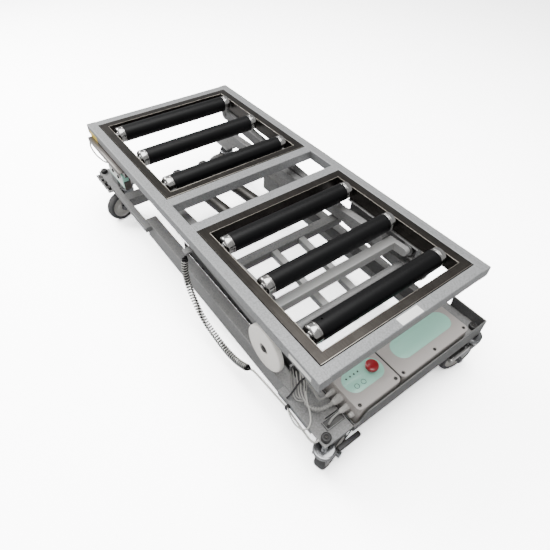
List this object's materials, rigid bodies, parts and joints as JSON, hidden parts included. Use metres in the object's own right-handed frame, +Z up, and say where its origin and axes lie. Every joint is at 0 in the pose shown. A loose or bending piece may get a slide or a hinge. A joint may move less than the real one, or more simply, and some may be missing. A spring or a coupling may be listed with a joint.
{
  "type": "coffin lifting trolley",
  "caption": "Low scissor-lift trolley with a roller deck in an open frame, swivel casters, control box with stop button, hand control and curled cord.",
  "frame": {"origin": "on the floor below the middle of the trolley's box, cords left out", "axes": "+X towards the control box, +Z up, the hand control on the -Y side"},
  "size_m": [1.498, 0.6997, 0.421],
  "materials": {
    "deck_paint": "silver hammered paint",
    "frame_steel": "dark brushed stainless",
    "roller_rubber": "matt black sleeve",
    "turned_steel": "turned bright",
    "hand_plastic": "white with a pale mint face",
    "button_plastic": "matt",
    "cord_jacket": "pale grey jacket",
    "grey_jacket": "grey jacket",
    "arm_paint": "grey paint",
    "light_paint": "light grey paint",
    "nylon": "off-white nylon",
    "wheel_steel": "turned",
    "actuator_alloy": "cast",
    "motor_black": "black",
    "bright_rod": "polished",
    "chassis_paint": "grey hammered paint",
    "black_plastic": "matt black",
    "box_plastic": "warm grey moulding",
    "plug_plastic": "grey",
    "stop_red": "red",
    "zinc": "bright zinc",
    "grey_tyre": "dark grey tread"
  },
  "bodies": {
    "chassis": {"side_rails": "chassis_paint", "corner_legs": "chassis_paint", "chassis_cross_tubes": "chassis_paint", "front_apron": "chassis_paint", "corner_knobs": "black_plastic", "side_step": "chassis_paint", "control_box": "box_plastic", "battery_box": "box_plastic", "box_plugs": "plug_plastic", "box_leads": "grey_jacket", "cord_tail": "cord_jacket", "coil_cord": "cord_jacket"},
    "deck": {"deck_side_tubes": "deck_paint", "deck_cross_tubes": "deck_paint", "roller_frame_rear": "frame_steel", "roller_frame_front": "frame_steel", "roller_axles": "turned_steel", "deck_hangers": "deck_paint", "hand_holder": "frame_steel", "hand_control": "hand_plastic", "hand_lead": "cord_jacket"},
    "arm_a": {"arm_a_tubes": "arm_paint", "arm_a_cross_tubes": "arm_paint", "arm_a_forks": "light_paint", "cord_bracket": "arm_paint"},
    "arm_b": {"arm_b_tubes": "arm_paint", "arm_b_cross_tubes": "arm_paint", "arm_b_spars": "light_paint"},
    "actuator_bodies": {"actuator_housings": "actuator_alloy", "actuator_motors": "motor_black"},
    "actuator_rods": {"actuator_rods": "bright_rod"},
    "nylon_wheel_left": {"nylon_wheel_left": "nylon"},
    "nylon_wheel_right": {"nylon_wheel_right": "nylon"},
    "track_wheel_left": {"track_wheel_left": "wheel_steel"},
    "track_wheel_right": {"track_wheel_right": "wheel_steel"},
    "stop_button": {"stop_button": "stop_red"},
    "hand_button_up": {"hand_button_up": "button_plastic"},
    "hand_button_down": {"hand_button_down": "button_plastic"},
    "brake_pedal_1": {"brake_pedal_1": "black_plastic"},
    "brake_pedal_2": {"brake_pedal_2": "black_plastic"},
    "roller_1": {"roller_sleeve_1": "roller_rubber", "roller_caps_1": "turned_steel"},
    "roller_2": {"roller_sleeve_2": "roller_rubber", "roller_caps_2": "turned_steel"},
    "roller_3": {"roller_sleeve_3": "roller_rubber", "roller_caps_3": "turned_steel"},
    "roller_4": {"roller_sleeve_4": "roller_rubber", "roller_caps_4": "turned_steel"},
    "roller_5": {"roller_sleeve_5": "roller_rubber", "roller_caps_5": "turned_steel"},
    "roller_6": {"roller_sleeve_6": "roller_rubber", "roller_caps_6": "turned_steel"},
    "caster_fork_1": {"caster_fork_1": "zinc"},
    "caster_wheel_1": {"caster_wheel_1": "grey_tyre"},
    "caster_fork_2": {"caster_fork_2": "zinc"},
    "caster_wheel_2": {"caster_wheel_2": "grey_tyre"},
    "caster_fork_3": {"caster_fork_3": "zinc"},
    "caster_wheel_3": {"caster_wheel_3": "grey_tyre"},
    "caster_fork_4": {"caster_fork_4": "zinc"},
    "caster_wheel_4": {"caster_wheel_4": "grey_tyre"}
  },
  "joints": [
    {"name": "lift", "type": "hinge", "parent": "chassis", "child": "arm_a", "pos_m": [-0.62896, 0.01185, 0.2533], "axis": [0, -1, 0], "range_deg": [0, 36], "deforming": ["coil_cord"]},
    {"name": "scissor", "type": "hinge", "parent": "arm_a", "child": "arm_b", "pos_m": [-0.09524, 0.01185, 0.2903], "axis": [0, -1, 0], "range_deg": [-72, 0]},
    {"name": "deck_level", "type": "hinge", "parent": "arm_b", "child": "deck", "pos_m": [-0.62896, 0.01185, 0.3273], "axis": [0, -1, 0], "range_deg": [0, 36]},
    {"name": "actuator_swing", "type": "hinge", "parent": "chassis", "child": "actuator_bodies", "pos_m": [-0.52895, 0.01185, 0.192], "axis": [0, -1, 0], "range_deg": [0, 40.2]},
    {"name": "actuator_stroke", "type": "slide", "parent": "actuator_bodies", "child": "actuator_rods", "axis": [0.991, 0, 0.1335], "range_m": [0, 0.06]},
    {"name": "nylon_wheel_left_roll", "type": "hinge", "parent": "arm_b", "child": "nylon_wheel_left", "pos_m": [0.43848, -0.28515, 0.2533], "axis": [0, 1, 0], "continuous": true},
    {"name": "track_wheel_left_roll", "type": "hinge", "parent": "arm_a", "child": "track_wheel_left", "pos_m": [0.43848, -0.24815, 0.3273], "axis": [0, 1, 0], "continuous": true},
    {"name": "nylon_wheel_right_roll", "type": "hinge", "parent": "arm_b", "child": "nylon_wheel_right", "pos_m": [0.43848, 0.30885, 0.2533], "axis": [0, 1, 0], "continuous": true},
    {"name": "track_wheel_right_roll", "type": "hinge", "parent": "arm_a", "child": "track_wheel_right", "pos_m": [0.43848, 0.27185, 0.3273], "axis": [0, 1, 0], "continuous": true},
    {"name": "roller_1_turn", "type": "hinge", "parent": "deck", "child": "roller_1", "pos_m": [-0.60596, 0.01185, 0.391], "axis": [0, 1, 0], "continuous": true},
    {"name": "roller_2_turn", "type": "hinge", "parent": "deck", "child": "roller_2", "pos_m": [-0.40896, 0.01185, 0.391], "axis": [0, 1, 0], "continuous": true},
    {"name": "roller_3_turn", "type": "hinge", "parent": "deck", "child": "roller_3", "pos_m": [-0.21196, 0.01185, 0.391], "axis": [0, 1, 0], "continuous": true},
    {"name": "roller_4_turn", "type": "hinge", "parent": "deck", "child": "roller_4", "pos_m": [0.15404, 0.01185, 0.391], "axis": [0, 1, 0], "continuous": true},
    {"name": "roller_5_turn", "type": "hinge", "parent": "deck", "child": "roller_5", "pos_m": [0.35104, 0.01185, 0.391], "axis": [0, 1, 0], "continuous": true},
    {"name": "roller_6_turn", "type": "hinge", "parent": "deck", "child": "roller_6", "pos_m": [0.54805, 0.01185, 0.391], "axis": [0, 1, 0], "continuous": true},
    {"name": "caster_1_swivel", "type": "hinge", "parent": "chassis", "child": "caster_fork_1", "pos_m": [0.72105, -0.30015, 0.14], "axis": [0, 0, 1], "continuous": true},
    {"name": "caster_1_roll", "type": "hinge", "parent": "caster_fork_1", "child": "caster_wheel_1", "pos_m": [0.7094, -0.25668, 0.0625], "axis": [-0.9659, -0.2588, 0], "continuous": true},
    {"name": "brake_1_press", "type": "hinge", "parent": "caster_fork_1", "child": "brake_pedal_1", "pos_m": [0.71742, -0.28662, 0.115], "axis": [-0.9659, -0.2588, 0], "range_deg": [0, 12]},
    {"name": "caster_2_swivel", "type": "hinge", "parent": "chassis", "child": "caster_fork_2", "pos_m": [0.72105, 0.32385, 0.14], "axis": [0, 0, 1], "continuous": true},
    {"name": "caster_2_roll", "type": "hinge", "parent": "caster_fork_2", "child": "caster_wheel_2", "pos_m": [0.71323, 0.27954, 0.0625], "axis": [0.9848, -0.1736, 0], "continuous": true},
    {"name": "brake_2_press", "type": "hinge", "parent": "caster_fork_2", "child": "brake_pedal_2", "pos_m": [0.71861, 0.31007, 0.115], "axis": [0.9848, -0.1736, 0], "range_deg": [0, 12]},
    {"name": "caster_3_swivel", "type": "hinge", "parent": "chassis", "child": "caster_fork_3", "pos_m": [-0.64396, -0.24315, 0.14], "axis": [0, 0, 1], "continuous": true},
    {"name": "caster_3_roll", "type": "hinge", "parent": "caster_fork_3", "child": "caster_wheel_3", "pos_m": [-0.63231, -0.28661, 0.0625], "axis": [0.9659, 0.2588, 0], "continuous": true},
    {"name": "caster_4_swivel", "type": "hinge", "parent": "chassis", "child": "caster_fork_4", "pos_m": [-0.64396, 0.26685, 0.14], "axis": [0, 0, 1], "continuous": true},
    {"name": "caster_4_roll", "type": "hinge", "parent": "caster_fork_4", "child": "caster_wheel_4", "pos_m": [-0.64788, 0.22203, 0.0625], "axis": [0.9962, -0.0872, 0], "continuous": true},
    {"name": "stop_press", "type": "slide", "parent": "chassis", "child": "stop_button", "axis": [0, 0, -1], "range_m": [0, 0.004], "stiffness_N_per_m": 800},
    {"name": "hand_up_press", "type": "slide", "parent": "deck", "child": "hand_button_up", "axis": [0, 1, 0], "range_m": [0, 0.002], "stiffness_N_per_m": 500},
    {"name": "hand_down_press", "type": "slide", "parent": "deck", "child": "hand_button_down", "axis": [0, 1, 0], "range_m": [0, 0.002], "stiffness_N_per_m": 500}
  ],
  "couplings": [
    {"joint": "scissor", "follows": "lift", "ratio": -2},
    {"joint": "deck_level", "follows": "lift", "ratio": 1},
    {"joint": "actuator_swing", "follows": "lift", "ratio": 1.1137},
    {"joint": "actuator_stroke", "follows": "lift", "m_per_rad": 0.09519}
  ]
}
